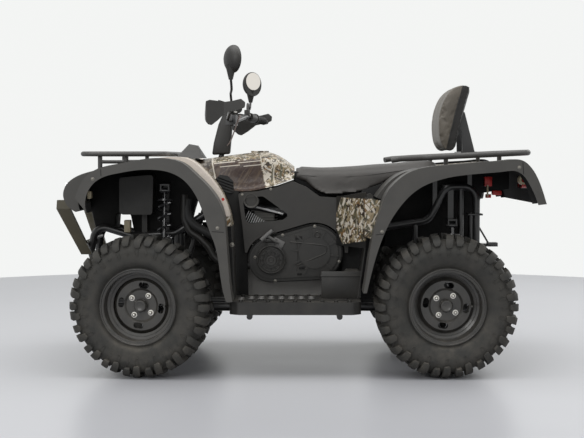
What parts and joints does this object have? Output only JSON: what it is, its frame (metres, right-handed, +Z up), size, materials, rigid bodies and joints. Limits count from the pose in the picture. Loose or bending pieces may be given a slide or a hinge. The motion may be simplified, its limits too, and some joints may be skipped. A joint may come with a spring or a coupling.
{
  "type": "quad bike",
  "caption": "Utility quad bike for two with open wheel arches, racks front and rear, a passenger backrest, spinning wheels and working steering",
  "frame": {"origin": "on the ground at the middle of the vehicle's whole box, on its centre line", "axes": "the front points to -X, the vehicle's left side to -Y, +Z is up; X is the longest extent and Y the shortest"},
  "size_m": [2.13, 1.2086, 1.4401],
  "materials": {
    "black_steel": "satin black paint",
    "rack_steel": "textured black paint",
    "cast_alloy": "as cast",
    "grey_plastic": "moulded, satin",
    "black_plastic": "moulded, matt",
    "camouflage": "camouflage film",
    "seat_cover": "grained vinyl",
    "lamp_glass": "clear lens",
    "red_lens": "red lens",
    "bumper_paint": "brownish black",
    "tyre": "black rubber"
  },
  "bodies": {
    "chassis": {"frame_left": "black_steel", "frame_right": "black_steel", "cross_members": "black_steel", "air_duct": "black_plastic", "air_vents": "black_plastic", "belly_plate": "black_plastic", "engine": "cast_alloy", "cvt_cover": "black_plastic", "recoil_starter": "black_plastic", "exhaust": "rack_steel", "front_wishbones": "black_steel", "rear_wishbones": "black_steel", "front_shocks": "black_steel", "rear_shocks": "black_steel", "front_gearcase": "cast_alloy", "rear_gearcase": "cast_alloy", "half_shafts": "black_steel", "rear_uprights": "black_steel", "front_body": "camouflage", "headlamps": "lamp_glass", "front_flares": "grey_plastic", "rear_flares": "grey_plastic", "rear_body": "camouflage", "tail_lamps": "red_lens", "leg_panels": "camouflage", "seat": "seat_cover", "tank_cover": "camouflage", "side_panel_left": "grey_plastic", "side_panel_right": "grey_plastic", "footwell_left": "black_plastic", "footwell_right": "black_plastic", "instrument_hood": "black_plastic", "storage_box": "black_plastic", "front_rack": "rack_steel", "rear_rack": "rack_steel", "front_bumper": "bumper_paint", "backrest_pad": "seat_cover", "backrest_frame": "black_steel", "tow_hitch": "black_steel"},
    "steering": {"steering_column": "black_steel", "handlebar": "black_steel", "controls": "black_plastic", "hand_guards": "black_plastic", "mirrors": "black_plastic", "instrument_pod": "black_plastic"},
    "tie_rod_left": {"tie_rod_left": "black_steel"},
    "knuckle_left": {"knuckle_left": "black_steel"},
    "wheel_front_left": {"tyre_front_left": "tyre", "rim_front_left": "black_steel"},
    "wheel_rear_left": {"tyre_rear_left": "tyre", "rim_rear_left": "black_steel"},
    "tie_rod_right": {"tie_rod_right": "black_steel"},
    "knuckle_right": {"knuckle_right": "black_steel"},
    "wheel_front_right": {"tyre_front_right": "tyre", "rim_front_right": "black_steel"},
    "wheel_rear_right": {"tyre_rear_right": "tyre", "rim_rear_right": "black_steel"}
  },
  "joints": [
    {"name": "steering", "type": "hinge", "parent": "chassis", "child": "steering", "pos_m": [-0.353, 0, 0.953], "axis": [0.309, 0, 0.9511], "range_deg": [-29, 41]},
    {"name": "tie_rod_left_pivot", "type": "hinge", "parent": "steering", "child": "tie_rod_left", "pos_m": [-0.59198, 0.00627, 0.41061], "axis": [0.309, 0, 0.9511], "range_deg": [-41, 29]},
    {"name": "kingpin_left", "type": "hinge", "parent": "chassis", "child": "knuckle_left", "pos_m": [-0.66, -0.395, 0.30991], "axis": [0, 0, 1], "range_deg": [-29, 41]},
    {"name": "front_wheel_left_spin", "type": "hinge", "parent": "knuckle_left", "child": "wheel_front_left", "pos_m": [-0.66815, -0.47257, 0.30991], "axis": [0.1045, 0.9945, 0], "continuous": true},
    {"name": "rear_wheel_left_spin", "type": "hinge", "parent": "chassis", "child": "wheel_rear_left", "pos_m": [0.65, -0.448, 0.30991], "axis": [0, 1, 0], "continuous": true},
    {"name": "tie_rod_right_pivot", "type": "hinge", "parent": "steering", "child": "tie_rod_right", "pos_m": [-0.60248, 0.00627, 0.37827], "axis": [0.309, 0, 0.9511], "range_deg": [-41, 29]},
    {"name": "kingpin_right", "type": "hinge", "parent": "chassis", "child": "knuckle_right", "pos_m": [-0.66, 0.395, 0.30991], "axis": [0, 0, 1], "range_deg": [-29, 41]},
    {"name": "front_wheel_right_spin", "type": "hinge", "parent": "knuckle_right", "child": "wheel_front_right", "pos_m": [-0.65185, 0.47257, 0.30991], "axis": [0.1045, 0.9945, 0], "continuous": true},
    {"name": "rear_wheel_right_spin", "type": "hinge", "parent": "chassis", "child": "wheel_rear_right", "pos_m": [0.65, 0.448, 0.30991], "axis": [0, 1, 0], "continuous": true}
  ],
  "couplings": [
    {"joint": "tie_rod_left_pivot", "follows": "steering", "ratio": -1},
    {"joint": "kingpin_left", "follows": "steering", "ratio": 1},
    {"joint": "tie_rod_right_pivot", "follows": "steering", "ratio": -1},
    {"joint": "kingpin_right", "follows": "steering", "ratio": 1}
  ]
}
